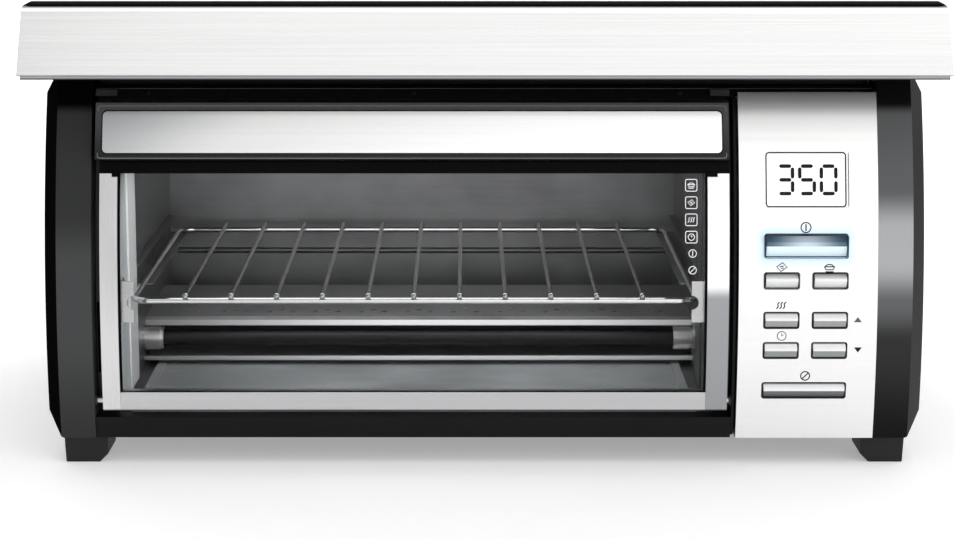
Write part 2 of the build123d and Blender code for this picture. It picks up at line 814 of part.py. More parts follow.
# ---- Hood ----
with BuildPart() as hood_fascia:
    face_path = ((front_y, fascia_bottom), (fascia_top_y, fascia_top), (-122.6, fascia_top))
    folded((-hood_half, hood_half), face_path, fascia_sheet, radius=fascia_bend)
    # Lip folded in under the face, with the hood pan resting on it
    lip_sheet = pan_bottom - lip_bottom
    lip_x = (-hood_half + lip_inset, hood_half - lip_inset)
    lip_y = front_y + 1.4
    lip_path = ((lip_back, lip_bottom), (lip_y, lip_bottom), (lip_y, fascia_bottom + 0.6))
    folded(lip_x, lip_path, lip_sheet)
save(hood_fascia, "hood_fascia")

with BuildPart() as hood_trim:
    with BuildSketch(Plane.XZ.offset(-trim_front)):
        with BuildLine():
            Polyline(
                (-hood_half, fascia_top),
                (hood_half, fascia_top),
                (hood_half - trim_corner, overall_height),
                (-hood_half + trim_corner, overall_height),
                close=True,
            )
        make_face()
    extrude(amount=-6.8)
save(hood_trim, "hood_trim")

with BuildPart() as hood_pan:
    block((-skirt_inner, skirt_inner), (-146.4, rear_y), (pan_bottom, pan_top))
save(hood_pan, "hood_pan")

with BuildPart() as hood_skirts:
    skirt_bottom = pan_top + 0.2
    skirt_outline = (
        (-146.6, skirt_bottom + 0.4),
        (-129.4, 231.2),
        (-122, 231.2),
        (rear_y, mount_top),
        (rear_y, skirt_bottom),
        (-146, skirt_bottom),
    )
    for side in (-1, 1):
        plate_yz(side_span(side, skirt_inner, skirt_outer), skirt_outline)
        block(side_span(side, 216, skirt_inner), (-140, rear_y), (skirt_bottom, skirt_bottom + 1))
save(hood_skirts, "hood_skirts")

with BuildPart() as hood_mount_plate:
    block((-mount_half, mount_half), mount_y, (mount_top - sheet, mount_top))
    for side in (-1, 1):
        block(side_span(side, mount_half - sheet, mount_half), mount_y, (pan_top, mount_top - sheet))
        block(side_span(side, mount_half, mount_half + 12), mount_y, (pan_top, pan_top + sheet))
    with Locations((0, mount_middle_y, mount_top)):
        with GridLocations(mount_bolts_x, mount_bolts_y, 2, 2):
            Cylinder(mount_hole_radius, 8, mode=Mode.SUBTRACT)
save(hood_mount_plate, "hood_mount_plate")
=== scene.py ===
import json
import math

import bmesh
import bpy
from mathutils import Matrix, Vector


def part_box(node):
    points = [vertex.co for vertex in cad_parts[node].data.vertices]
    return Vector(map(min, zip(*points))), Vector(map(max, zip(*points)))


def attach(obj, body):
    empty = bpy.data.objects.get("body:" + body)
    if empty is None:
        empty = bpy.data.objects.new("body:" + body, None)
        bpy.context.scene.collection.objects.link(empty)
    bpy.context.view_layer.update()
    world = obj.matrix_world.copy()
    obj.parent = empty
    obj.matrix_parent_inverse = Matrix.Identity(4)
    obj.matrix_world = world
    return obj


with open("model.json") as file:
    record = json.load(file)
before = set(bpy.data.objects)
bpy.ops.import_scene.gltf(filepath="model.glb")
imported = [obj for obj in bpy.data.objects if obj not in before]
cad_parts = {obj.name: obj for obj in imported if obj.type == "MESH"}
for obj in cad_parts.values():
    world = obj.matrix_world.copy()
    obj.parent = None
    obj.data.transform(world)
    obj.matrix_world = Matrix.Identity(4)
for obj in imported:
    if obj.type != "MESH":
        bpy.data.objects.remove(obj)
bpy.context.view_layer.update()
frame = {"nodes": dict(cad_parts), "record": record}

scene = bpy.context.scene
nodes = frame["nodes"]
MM = 0.001

# ---------------------------------------------------------------- Camera

camera_data = bpy.data.cameras.new("camera")
camera_data.sensor_width = 36.0
camera_data.lens = 90.5
camera_data.shift_x = 0.013
camera_data.clip_end = 30.0
tilt_down = 10.83  # degrees below the horizontal
camera = bpy.data.objects.new("camera", camera_data)
camera.location = (-0.00985, -1.329, 0.3303)
camera.rotation_euler = (math.radians(90 - tilt_down), 0, 0)
scene.collection.objects.link(camera)
scene.camera = camera
scene.view_settings.view_transform = "Standard"


# ---------------------------------------------------------------- Shader helper


class Shader:
    """A material under construction: one Principled shader and the nodes that feed it."""

    def __init__(self, name, color=(0.8, 0.8, 0.8), metallic=0.0, roughness=0.5, **sockets):
        self.material = bpy.data.materials.new(name)
        self.material.use_nodes = True
        self.tree = self.material.node_tree
        self.shader = self.tree.nodes["Principled BSDF"]
        self.shader.inputs["Base Color"].default_value = (*color, 1)
        self.shader.inputs["Metallic"].default_value = metallic
        self.shader.inputs["Roughness"].default_value = roughness
        for socket, value in sockets.items():
            self.shader.inputs[socket.replace("_", " ")].default_value = value
        self.place = self.add("ShaderNodeTexCoord").outputs["Object"]
        split = self.add("ShaderNodeSeparateXYZ")
        self.link(self.place, split.inputs["Vector"])
        self.x, self.y, self.z = split.outputs

    def add(self, kind, **settings):
        node = self.tree.nodes.new(kind)
        for key, value in settings.items():
            setattr(node, key, value)
        return node

    def link(self, source, target):
        self.tree.links.new(source, target)

    def feed(self, value, socket):
        """Puts a colour, a number or another node's output into a socket."""
        if isinstance(value, tuple):
            socket.default_value = (*value, 1)
        elif isinstance(value, (int, float)):
            socket.default_value = value
        else:
            self.link(value, socket)

    def noise(self, scale, detail=3.0, rough=0.55):
        """Noise over object coordinates, with a scale for each axis, per metre."""
        mapping = self.add("ShaderNodeMapping")
        mapping.inputs["Scale"].default_value = scale
        self.link(self.place, mapping.inputs["Vector"])
        node = self.add("ShaderNodeTexNoise")
        node.inputs["Scale"].default_value = 1.0
        node.inputs["Detail"].default_value = detail
        node.inputs["Roughness"].default_value = rough
        self.link(mapping.outputs["Vector"], node.inputs["Vector"])
        return node.outputs["Fac"]

    def remap(self, value, low, high, from_low=0.3, from_high=0.7, smooth=False):
        node = self.add("ShaderNodeMapRange")
        if smooth:
            node.interpolation_type = "SMOOTHSTEP"
        node.inputs["From Min"].default_value = from_low
        node.inputs["From Max"].default_value = from_high
        node.inputs["To Min"].default_value = low
        node.inputs["To Max"].default_value = high
        self.link(value, node.inputs["Value"])
        return node.outputs["Result"]

    def math(self, operation, a, b=0.0):
        node = self.add("ShaderNodeMath", operation=operation)
        self.feed(a, node.inputs[0])
        self.feed(b, node.inputs[1])
        return node.outputs["Value"]

    def mix(self, factor, a, b):
        node = self.add("ShaderNodeMix", data_type="RGBA")
        self.feed(factor, node.inputs[0])
        self.feed(a, node.inputs[6])
        self.feed(b, node.inputs[7])
        return node.outputs[2]

    def outside(self, coordinate, low, high):
        """1 where a coordinate lies outside two limits, 0 inside."""
        below = self.math("LESS_THAN", coordinate, low)
        above = self.math("GREATER_THAN", coordinate, high)
        return self.math("MAXIMUM", below, above)

    def beyond(self, coordinate, low, high):
        """How far a coordinate lies outside two limits, in metres."""
        middle, half = (low + high) / 2, (high - low) / 2
        distance = self.math("ABSOLUTE", self.math("SUBTRACT", coordinate, middle))
        return self.math("MAXIMUM", self.math("SUBTRACT", distance, half), 0.0)

    def set(self, name, source):
        self.link(source, self.shader.inputs[name])

    def bump(self, height, strength, distance):
        node = self.add("ShaderNodeBump")
        node.inputs["Strength"].default_value = strength
        node.inputs["Distance"].default_value = distance
        self.link(height, node.inputs["Height"])
        self.set("Normal", node.outputs["Normal"])


def scaled(tone, factor):
    """A tone made darker by a factor below 1, or lighter by one above."""
    return tuple(min(1.0, channel * factor) for channel in tone)


# ---------------------------------------------------------------- Materials


def brushed_steel(name, tone, roughness, grain=(7, 900, 1500), contrast=0.12):
    """Steel brushed along its length: fine streaks in its tone, gloss and surface."""
    steel = Shader(name, metallic=1.0)
    fine = steel.noise(grain, detail=4, rough=0.7)
    broad = steel.noise(tuple(g / 9 for g in grain), detail=3)
    streaks = steel.math("ADD", steel.math("MULTIPLY", fine, 0.6), steel.math("MULTIPLY", broad, 0.4))
    steel.set("Base Color", steel.mix(steel.remap(streaks, 0, 1), scaled(tone, 1 - contrast), tone))
    steel.set("Roughness", steel.remap(broad, roughness * 0.88, roughness * 1.15))
    steel.bump(fine, 0.2, 0.00002)
    return steel


def moulded(name, color, roughness, grain=900.0, bump=0.12, specular=0.5):
    """Moulded plastic or rubber: a little variation in gloss and a fine skin."""
    plastic = Shader(name, color=color, roughness=roughness, Specular_IOR_Level=specular)
    skin = plastic.noise((grain, grain, grain), detail=2)
    wear = plastic.noise((14, 14, 14), detail=4)
    lighter = tuple(min(1, channel * 1.2 + 0.001) for channel in color)
    plastic.set("Base Color", plastic.mix(plastic.remap(wear, 0, 1), color, lighter))
    plastic.set("Roughness", plastic.remap(wear, roughness * 0.9, roughness * 1.12))
    plastic.bump(skin, bump, 0.00003)
    return plastic


def powder_coat(name, color, roughness, specular=0.35):
    """Painted steel with the fine orange peel of powder coating."""
    paint = Shader(name, color=color, roughness=roughness, Specular_IOR_Level=specular)
    peel = paint.noise((700, 700, 700), detail=2)
    cloud = paint.noise((9, 9, 9), detail=3)
    paint.set("Base Color", paint.mix(paint.remap(cloud, 0, 1), color, scaled(color, 1.3)))
    paint.set("Roughness", paint.remap(peel, roughness * 0.88, roughness * 1.15))
    paint.bump(peel, 0.3, 0.00004)
    return paint


def aluminised(name, tone, roughness, metallic=0.85):
    """Dull coated sheet: soft mottling and faint rolling marks along its length."""
    steel = Shader(name, metallic=metallic)
    mottle = steel.noise((17, 24, 20), detail=4, rough=0.5)
    rolling = steel.noise((9, 500, 500), detail=3)
    tint = steel.mix(steel.remap(mottle, 0, 1, 0.35, 0.65), scaled(tone, 0.62), scaled(tone, 1.1))
    steel.set("Base Color", steel.mix(steel.remap(rolling, 0, 0.25), tint, scaled(tone, 1.25)))
    steel.set("Roughness", steel.remap(mottle, roughness * 0.85, roughness * 1.2))
    steel.bump(rolling, 0.08, 0.00002)
    return steel


def plain_metal(name, tone, roughness, scale=900.0):
    metal = Shader(name, color=tone, metallic=1.0, roughness=roughness)
    grain = metal.noise((scale, scale, scale), detail=2)
    metal.set("Base Color", metal.mix(metal.remap(grain, 0, 1), scaled(tone, 0.92), tone))
    metal.set("Roughness", metal.remap(grain, roughness * 0.9, roughness * 1.15))
    metal.bump(grain, 0.03, 0.00001)
    return metal


def clear_glass(name, color, roughness, index):
    """Thin coated glass that reflects little; a lower index stands for a better coating."""
    pane = Shader(name, color=color, roughness=roughness, Transmission_Weight=1.0, IOR=index)
    smear = pane.noise((18, 18, 18), detail=3)
    pane.set("Roughness", pane.remap(smear, roughness * 0.4, roughness * 1.4))
    return pane


def door_pane():
    """The door's glass, with a thin black border down each side: painted shade of the strips' inner edges."""
    pane = clear_glass("door_glass", (0.95, 0.955, 0.96), 0.012, 1.1)
    low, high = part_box("door_glass")
    border = 0.9 * MM
    # Painted shade: the black border along each side stands in for the shadow of the strip beside it
    edge = pane.outside(pane.x, low.x + border, high.x - border)
    pane.set("Base Color", pane.mix(edge, (0.95, 0.955, 0.96), (0.003, 0.003, 0.003)))
    pane.set("Transmission Weight", pane.math("SUBTRACT", 1.0, edge))
    return pane


def panel_steel():
    """The control panel's brushed steel, with painted light: the blue glow of the power button painted round
    it, and painted shade on its edge flange.
    """
    steel = brushed_steel("panel_steel", (0.90, 0.90, 0.895), 0.34, contrast=0.07)
    base = steel.shader.inputs["Base Color"].links[0].from_socket
    low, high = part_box("power_button")
    flange = 1.4 * MM
    away_x = steel.beyond(steel.x, low.x + flange, high.x - flange)
    away_z = steel.beyond(steel.z, low.z + flange, high.z - flange)
    squares = steel.math("ADD", steel.math("POWER", away_x, 2.0), steel.math("POWER", away_z, 2.0))
    away = steel.math("SQRT", squares)
    # Painted light: a pool of blue that fades out round the power button
    glow_reach = 10 * MM
    glow = steel.math("POWER", steel.remap(away, 1.0, 0.0, 0.0, glow_reach, smooth=True), 1.8)
    lit = steel.mix(steel.math("MULTIPLY", glow, 0.8), base, (0.55, 0.78, 1.0))
    # Painted shade: the flange folded back beside the door is painted near black, for the deep shadow it lies
    # in
    flange_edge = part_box("control_panel")[0].x + 0.2 * MM
    folded = steel.math("LESS_THAN", steel.x, flange_edge)
    steel.set("Base Color", steel.mix(folded, lit, (0.004, 0.004, 0.004)))
    return steel


def push_button(name, lower):
    """Silver plastic whose long lower slope is painted a darker tone than the ridge above it: painted shade
    and reflection.
    """
    upper = (0.93, 0.94, 0.95)
    low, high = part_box(name)
    middle = (low.z + high.z) / 2
    key = moulded(name + "_silver", upper, 0.3, bump=0.03)
    upper_tone = key.shader.inputs["Base Color"].links[0].from_socket
    half = 0.12 * MM
    below = key.remap(key.z, 1.0, 0.0, middle - half, middle + half, smooth=True)
    key.set("Base Color", key.mix(below, upper_tone, lower))
    return key


def power_key():
    """Lit button: a dark blue band with a bright middle, over a pale blue face."""
    low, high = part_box("power_button")
    middle_x, middle_z = (low.x + high.x) / 2, (low.z + high.z) / 2
    half_width = (high.x - low.x) / 2
    key = moulded("power_blue", (0.66, 0.80, 0.90), 0.2, bump=0.02)
    face = key.shader.inputs["Base Color"].links[0].from_socket
    from_middle = key.math("ABSOLUTE", key.math("SUBTRACT", key.x, middle_x))
    centre = key.remap(from_middle, 1.0, 0.0, 0.0, half_width, smooth=True)
    centre = key.math("POWER", centre, 1.3)
    band = key.mix(centre, (0.05, 0.105, 0.15), (0.50, 0.60, 0.68))
    edge = 0.15 * MM
    above = key.remap(key.z, 0.0, 1.0, middle_z - edge, middle_z + edge, smooth=True)
    tone = key.mix(above, face, band)
    key.set("Base Color", tone)
    key.set("Emission Color", tone)
    key.shader.inputs["Emission Strength"].default_value = 0.35
    return key


def sheen_graded(name, bottom, top, lower, upper, roughness, specular):
    """Black plastic or paint with a painted sheen: it gets lighter between two heights."""
    shade = moulded(name, lower, roughness, bump=0.02, specular=specular)
    low_tone = shade.shader.inputs["Base Color"].links[0].from_socket
    rise = shade.remap(shade.z, 0.0, 1.0, bottom, top, smooth=True)
    shade.set("Base Color", shade.mix(rise, low_tone, upper))
    return shade


def cap_plastic(name, stops, specular):
    """Gloss black end cap: a soft sheen is painted up its front, and its bevel stays black."""
    ramp_top = 200  # millimetres, the height where the ramp of tones ends
    bevel_width = 7.3 * MM
    cap = moulded(name, (0.003, 0.003, 0.003), 0.25, bump=0.02, specular=specular)
    ramp = cap.add("ShaderNodeValToRGB")
    ramp.color_ramp.interpolation = "EASE"
    elements = ramp.color_ramp.elements
    while len(elements) < len(stops):
        elements.new(0.5)
    for element, (height, tone) in zip(elements, stops):
        element.position = height / ramp_top
        element.color = (tone, tone * 1.02, tone * 1.04, 1)
    cap.link(cap.remap(cap.z, 0, 1, 0, ramp_top * MM), ramp.inputs["Fac"])
    low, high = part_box(name)
    bevel_start = max(high.x, -low.x) - bevel_width
    bevelled = cap.outside(cap.x, -bevel_start, bevel_start)
    cap.set("Base Color", cap.mix(bevelled, ramp.outputs["Color"], (0.003, 0.003, 0.003)))
    return cap


def inlay_steel():
    """Brushed inlay of the handle, with painted shade that makes it greyer towards its left end."""
    steel = brushed_steel("inlay_steel", (0.93, 0.93, 0.925), 0.25, contrast=0.06)
    tone = steel.shader.inputs["Base Color"].links[0].from_socket
    low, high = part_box("handle_inlay")
    slant, fade = 1.5, 0.09  # the grey end slants, and fades over this length
    # Painted shade: a slanted grey end on the left
    rise = steel.math("SUBTRACT", steel.x, steel.math("MULTIPLY", steel.z, slant))
    start = low.x - slant * high.z
    shade = steel.remap(rise, 0.0, 1.0, start, start + fade, smooth=True)
    steel.set("Base Color", steel.mix(shade, (0.50, 0.52, 0.53), tone))
    return steel


def strip_steel(name, lower, upper=None, split=0.0905, top=0.1335):
    """Satin strip of the door; given an upper tone, it is painted darker below the split and greyer above the
    top, as painted shade and reflection.
    """
    steel = brushed_steel(name, upper or lower, 0.33, grain=(900, 900, 7))
    if upper:
        tone = steel.shader.inputs["Base Color"].links[0].from_socket
        blend = 4 * MM
        below = steel.remap(steel.z, 1.0, 0.0, split - blend, split + blend, smooth=True)
        tone = steel.mix(steel.math("GREATER_THAN", steel.z, top), tone, scaled(upper, 0.84))
        steel.set("Base Color", steel.mix(below, tone, lower))
    return steel


def frame_steel():
    """The front frame: black around the mouth, and steel jambs with painted light: the left jamb painted
    bright, the right one painted near black as shade.
    """
    low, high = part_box("crumb_tray")
    mouth = 6.6 * MM  # the jambs stand this far outside the crumb tray
    steel = Shader("frame_steel", roughness=0.4)
    rolling = steel.remap(steel.noise((500, 500, 7), detail=3), 0, 1)
    # Painted light and shade: the left jamb lit bright, the right one near black
    left = steel.mix(rolling, (0.66, 0.69, 0.70), (0.85, 0.88, 0.89))
    right = steel.mix(rolling, (0.07, 0.072, 0.075), (0.10, 0.103, 0.106))
    # The jamb's inner fold, past the step, gets a painted highlight
    jamb_step = -0.0895
    inner = steel.math("GREATER_THAN", steel.y, jamb_step)
    left = steel.mix(inner, left, (0.95, 0.96, 0.96))
    bright = steel.mix(steel.math("LESS_THAN", steel.x, 0.0), right, left)
    margin = steel.outside(steel.x, low.x - mouth, high.x + mouth)
    above = steel.math("GREATER_THAN", steel.z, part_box("upper_heating_tubes")[0].z + 5 * MM)
    margin = steel.math("MAXIMUM", margin, above)
    steel.set("Base Color", steel.mix(margin, bright, (0.004, 0.004, 0.004)))
    steel.set("Metallic", steel.math("SUBTRACT", 0.35, steel.math("MULTIPLY", margin, 0.35)))
    return steel


def fascia_steel():
    """Brushed hood face with painted shade and reflection: a grey lip under it, a dark line at its lower
    edge, and dark where it bends back at the top.
    """
    steel = brushed_steel("fascia_steel", (0.90, 0.90, 0.895), 0.27, contrast=0.17)
    tone = steel.shader.inputs["Base Color"].links[0].from_socket
    low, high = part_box("hood_fascia")
    lip = steel.remap(steel.z, 1.0, 0.0, low.z + 2.2 * MM, low.z + 2.6 * MM)
    under = steel.remap(steel.z, 1.0, 0.0, low.z + 0.5 * MM, low.z + 0.8 * MM)
    bend = steel.remap(steel.z, 0.0, 1.0, high.z - 1.5 * MM, high.z - 0.4 * MM, smooth=True)
    # Painted shade and reflection on the lip, its lower edge and the bend
    tone = steel.mix(lip, tone, (0.36, 0.37, 0.38))
    tone = steel.mix(under, tone, (0.05, 0.05, 0.05))
    steel.set("Base Color", steel.mix(bend, tone, (0.04, 0.04, 0.042)))
    return steel


def shield_steel():
    """The lower shield's sheet, with painted light: brighter towards the right and along its front lip."""
    steel = aluminised("shield_steel", (0.20, 0.20, 0.202), 0.4, metallic=0.2)
    tone = steel.shader.inputs["Base Color"].links[0].from_socket
    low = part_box("lower_shield")[0]
    fade, lip_depth = 0.16, 9 * MM
    # Painted light: the front lip goes from dark on the left to bright on the right
    rise = steel.remap(steel.x, 0.25, 1.0, low.x, low.x + fade, smooth=True)
    lip = steel.math("LESS_THAN", steel.y, low.y + lip_depth)
    brighter = steel.mix(rise, (0.12, 0.12, 0.122), (0.95, 0.95, 0.95))
    steel.set("Base Color", steel.mix(lip, tone, brighter))
    return steel


# One material for each of the record's slots that a node shows without a material of its own
slots = {
    "black_casing": powder_coat("black_casing", (0.003, 0.0031, 0.0032), 0.4, specular=0.15),
    "mount_steel": brushed_steel("mount_steel", (0.50, 0.505, 0.51), 0.42, contrast=0.08),
    "chamber_steel": aluminised("chamber_steel", (0.225, 0.226, 0.228), 0.36),
    "chrome_wire": plain_metal("chrome_wire", (0.75, 0.75, 0.75), 0.08),
    "door_glass": door_pane(),
    "display_lens": clear_glass("display_lens", (0.98, 0.99, 0.99), 0.004, 1.2),
    "display_face": moulded("display_face", (0.90, 0.91, 0.91), 0.3, bump=0.0),
    "blue_button": power_key(),
    "black_carrier": moulded("black_carrier", (0.003, 0.003, 0.003), 0.55, specular=0.2),
    "circuit_board": moulded("circuit_board", (0.02, 0.14, 0.05), 0.35),
    "black_component": moulded("black_component", (0.02, 0.02, 0.022), 0.45),
    "transformer_core": plain_metal("transformer_core", (0.2, 0.19, 0.17), 0.5),
    "terminal_plastic": moulded("terminal_plastic", (0.72, 0.7, 0.62), 0.5),
    "heater_tube": plain_metal("heater_tube", (0.03, 0.03, 0.031), 0.34),
    "tube_cap": plain_metal("tube_cap", (0.92, 0.92, 0.90), 0.32),
    "rubber_foot": moulded("rubber_foot", (0.008, 0.008, 0.008), 0.55, bump=0.2, specular=0.3),
    "bush_plastic": moulded("bush_plastic", (0.02, 0.02, 0.02), 0.45),
    "zinc_screw": plain_metal("zinc_screw", (0.62, 0.62, 0.6), 0.3),
}
# Painted light: the display face glows to make up for the light that the lens keeps off it
slots["display_face"].shader.inputs["Emission Color"].default_value = (0.95, 0.97, 1.0, 1)
slots["display_face"].shader.inputs["Emission Strength"].default_value = 0.75

handle_low, handle_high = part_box("door_handle")
# Height in millimetres and tone of the soft sheen on each end cap, from its foot up
left_sheen = ((14, 0.04), (70, 0.07), (105, 0.07), (130, 0.04), (178, 0.04), (184, 0.002))
right_sheen = (
    (14, 0.005),
    (65, 0.03),
    (85, 0.13),
    (105, 0.45),
    (122, 0.45),
    (142, 0.12),
    (178, 0.11),
    (184, 0.005),
)
own_materials = {
    "control_panel": panel_steel(),
    "front_frame": frame_steel(),
    # Painted sheen: the handle's black gets lighter towards its top
    "door_handle": sheen_graded(
        "handle_black", handle_low.z, handle_high.z, (0.004, 0.0042, 0.0045), (0.07, 0.072, 0.075), 0.3, 0.3
    ),
    "door_top_rail": moulded("rail_black", (0.001, 0.001, 0.001), 0.4, bump=0.0, specular=0.05),
    # Painted light and shade: the three strips are one steel, each painted in its own tone for how it is lit
    "door_left_strip": strip_steel("left_strip", (0.72, 0.72, 0.72)),
    "door_right_strip": strip_steel("right_strip", (0.33, 0.34, 0.35), (0.95, 0.95, 0.95)),
    "door_bottom_strip": brushed_steel("bottom_strip", (0.58, 0.585, 0.59), 0.33),
    "latch_bumpers": moulded("bumper_grey", (0.03, 0.03, 0.03), 0.5),
    "handle_inlay": inlay_steel(),
    "left_end_cap": cap_plastic("left_end_cap", left_sheen, 0.0),
    "right_end_cap": cap_plastic("right_end_cap", right_sheen, 0.08),
    "beam_screws": plain_metal("screw_black", (0.03, 0.03, 0.03), 0.4),
    "rack_hooks": plain_metal("hook_steel", (0.55, 0.55, 0.55), 0.3),
    "lower_shield": shield_steel(),
    "crumb_tray": aluminised("tray_steel", (0.42, 0.44, 0.45), 0.45, metallic=0.3),
    "hood_fascia": fascia_steel(),
    # Painted shade: the grid's wires are the frame's chrome in a darker tone
    "rack_wires": plain_metal("grid_wire", (0.42, 0.42, 0.42), 0.12),
}
# Painted shade and reflection: tone of each push button's lower slope
slope_shades = {
    "toast_button": (0.86, 0.87, 0.88),
    "bake_button": (0.87, 0.88, 0.89),
    "warm_button": (0.36, 0.37, 0.37),
    "up_button": (0.36, 0.37, 0.37),
    "timer_button": (0.29, 0.31, 0.31),
    "down_button": (0.29, 0.31, 0.31),
    "stop_button": (0.14, 0.15, 0.16),
}
for name, slope in slope_shades.items():
    own_materials[name] = push_button(name, slope)

for subpart in frame["record"]["subparts"]:
    name = subpart["node"]
    chosen = own_materials[name] if name in own_materials else slots[subpart["material_slot"]]
    nodes[name].material_slots[0].material = chosen.material


# ---------------------------------------------------------------- Printed symbols


class Print:
    """Thin closed plates laid on a node's front: lines and filled shapes, in millimetres from a centre."""

    def __init__(self, name, node, centre, lift=0.05, thickness=0.09):
        self.name, self.node = name, node
        self.centre = centre
        self.lift, self.thickness = lift * MM, thickness * MM
        self.mesh = bmesh.new()

    def pair(self, x, z):
        """A front vertex and a back vertex at a place on the node's front."""
        x, z = self.centre[0] + x * MM, self.centre[1] + z * MM
        found, place, _, _ = self.node.ray_cast(Vector((x, -1, z)), Vector((0, 1, 0)))
        front = (place.y if found else self.node.bound_box[0][1]) - self.lift
        return (
            self.mesh.verts.new((x, front, z)),
            self.mesh.verts.new((x, front + self.thickness, z)),
        )

    def shape(self, points):
        """Filled polygon."""
        pairs = [self.pair(*point) for point in points]
        self.mesh.faces.new([front for front, _ in pairs])
        self.mesh.faces.new([back for _, back in reversed(pairs)])
        for (a, a_back), (b, b_back) in zip(pairs, pairs[1:] + pairs[:1]):
            self.mesh.faces.new((a, a_back, b_back, b))

    def line(self, points, width, closed=False):
        """Line of a given width along a path."""
        count = len(points)
        ribs = []
        for index, (x, z) in enumerate(points):
            before = points[index - 1] if closed or index else points[0]
            after = points[(index + 1) % count] if closed or index < count - 1 else points[-1]
            along = Vector((after[0] - before[0], after[1] - before[1])).normalized()
            side = Vector((-along.y, along.x)) * width / 2
            ribs.append((*self.pair(x + side.x, z + side.y), *self.pair(x - side.x, z - side.y)))
        following = ribs[1:] + ribs[:1] if closed else ribs[1:]
        for (a, a_back, b, b_back), (c, c_back, d, d_back) in zip(ribs, following):
            self.mesh.faces.new((a, b, d, c))
            self.mesh.faces.new((a_back, c_back, d_back, b_back))
            self.mesh.faces.new((a, c, c_back, a_back))
            self.mesh.faces.new((b, b_back, d_back, d))
        if not closed:
            for a, a_back, b, b_back in (ribs[0], ribs[-1]):
                self.mesh.faces.new((a, a_back, b_back, b))

    def ring(self, x, z, radius, width):
        sides = 40
        turns = [math.tau * step / sides for step in range(sides)]
        path = [(x + radius * math.cos(turn), z + radius * math.sin(turn)) for turn in turns]
        self.line(path, width, closed=True)

    def wave(self, x, z, height, width):
        """A slanted wavy line, for heat."""
        spans, lean, swing = 12, 0.5, 0.13
        path = []
        for step in range(spans + 1):
            rise = step / spans
            sideways = lean * (rise - 0.5) + swing * math.sin(math.tau * rise)
            path.append((x + height * sideways, z + height * (rise - 0.5)))
        self.line(path, width)

    def finish(self, material, rider):
        bmesh.ops.recalc_face_normals(self.mesh, faces=self.mesh.faces)
        data = bpy.data.meshes.new(self.name)
        self.mesh.to_mesh(data)
        self.mesh.free()
        data.materials.append(material)
        piece = bpy.data.objects.new(self.name, data)
        scene.collection.objects.link(piece)
        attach(piece, rider)


def rounded_box(half_x, half_z, corner):
    """Path round a rectangle with rounded corners."""
    spans = 6  # in each corner
    path = []
    for quarter in range(4):
        sign_x, sign_z = ((1, 1), (-1, 1), (-1, -1), (1, -1))[quarter]
        for step in range(spans + 1):
            turn = math.pi / 2 * (quarter + step / spans)
            path.append(
                (
                    sign_x * (half_x - corner) + corner * math.cos(turn),
                    sign_z * (half_z - corner) + corner * math.sin(turn),
                )
            )
    return path


def draw_power(mark, size, width):
    mark.ring(0, 0, size, width)
    mark.line([(0, -0.7 * size), (0, 0.7 * size)], width * 1.15)


def draw_toast(mark, size, width):
    outline = [(1.08, 0), (0.15, 0.92), (-1.08, 0.1), (-0.2, -0.92)]
    mark.line([(size * x, size * z) for x, z in outline], width, closed=True)
    mark.line([(-0.45 * size, 0.05 * size), (0.35 * size, 0.2 * size)], width)
    mark.line([(-0.2 * size, -0.35 * size), (0.4 * size, -0.15 * size)], width * 0.8)


def draw_bake(mark, size, width):
    dish = [(-1.1, 0.2), (-0.8, -0.45), (0.8, -0.45), (1.1, 0.2)]
    mark.line([(size * x, size * z) for x, z in dish], width)
    turns = [math.pi * step / 10 for step in range(11)]
    lid = [(0.85 * size * math.cos(turn), size * (0.2 + 0.5 * math.sin(turn))) for turn in turns]
    mark.line(lid, width)
    mark.line([(-1.2 * size, 0.2 * size), (1.2 * size, 0.2 * size)], width)
    mark.line([(-0.9 * size, -0.9 * size), (0.9 * size, -0.9 * size)], width)


def draw_warm(mark, size, width):
    for x in (-0.75, 0, 0.75):
        mark.wave(x * size, 0, 1.5 * size, width)


def draw_timer(mark, size, width):
    mark.ring(0, 0, size, width)
    mark.line([(0, 0.6 * size), (0, -0.05 * size), (0.4 * size, 0.25 * size)], width)


def draw_stop(mark, size, width):
    mark.ring(0, 0, size, width)
    mark.line([(-0.68 * size, -0.68 * size), (0.68 * size, 0.68 * size)], width)


def draw_up(mark, size, width):
    mark.shape([(-size, -0.67 * size), (size, -0.67 * size), (0, 0.67 * size)])


def draw_down(mark, size, width):
    mark.shape([(-size, 0.67 * size), (0, -0.67 * size), (size, 0.67 * size)])


def middle(name):
    """X and Z of the middle of a node's box."""
    low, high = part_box(name)
    return (low.x + high.x) / 2, (low.z + high.z) / 2


ink = moulded("ink_grey", (0.10, 0.105, 0.11), 0.5, bump=0.0, specular=0.2)
dark_ink = moulded("ink_black", (0.006, 0.006, 0.006), 0.5, bump=0.0, specular=0.2)
white_ink = moulded("ink_white", (0.82, 0.83, 0.83), 0.5, bump=0.0, specular=0.2)
# Painted light: the white print glows a little
white_ink.shader.inputs["Emission Color"].default_value = (1, 1, 1, 1)
white_ink.shader.inputs["Emission Strength"].default_value = 0.12

